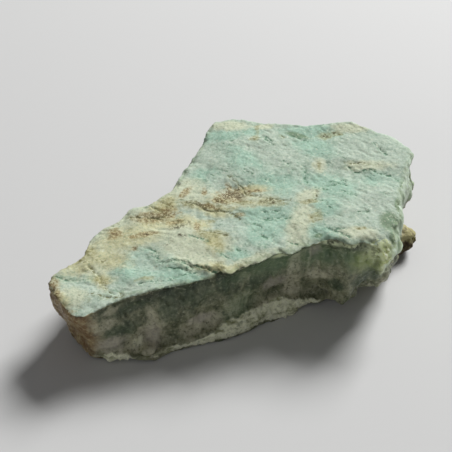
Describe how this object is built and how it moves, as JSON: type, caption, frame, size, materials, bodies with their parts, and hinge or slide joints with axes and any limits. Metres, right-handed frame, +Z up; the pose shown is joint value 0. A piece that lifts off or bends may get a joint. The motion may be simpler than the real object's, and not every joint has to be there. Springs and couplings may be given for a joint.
{
  "type": "rough chrysoprase",
  "caption": "Palm-sized slab of rough green chalcedony with a flat weathered skin on top, a steep glassy broken front, and a tapering left end, lying flat on its underside.",
  "frame": {"origin": "centre of the bounding box's footprint, on the level that the stone lies on", "axes": "+X along the stone's length, from its narrow end to its wide end; +Y from its steep broken front to its back; +Z up through the slab's thickness"},
  "size_m": [0.097, 0.077, 0.0299],
  "materials": {
    "chrysoprase": "matt weathered skin, waxy to glassy where it is broken"
  },
  "bodies": {
    "root": {"chrysoprase": "chrysoprase"}
  },
  "joints": []
}
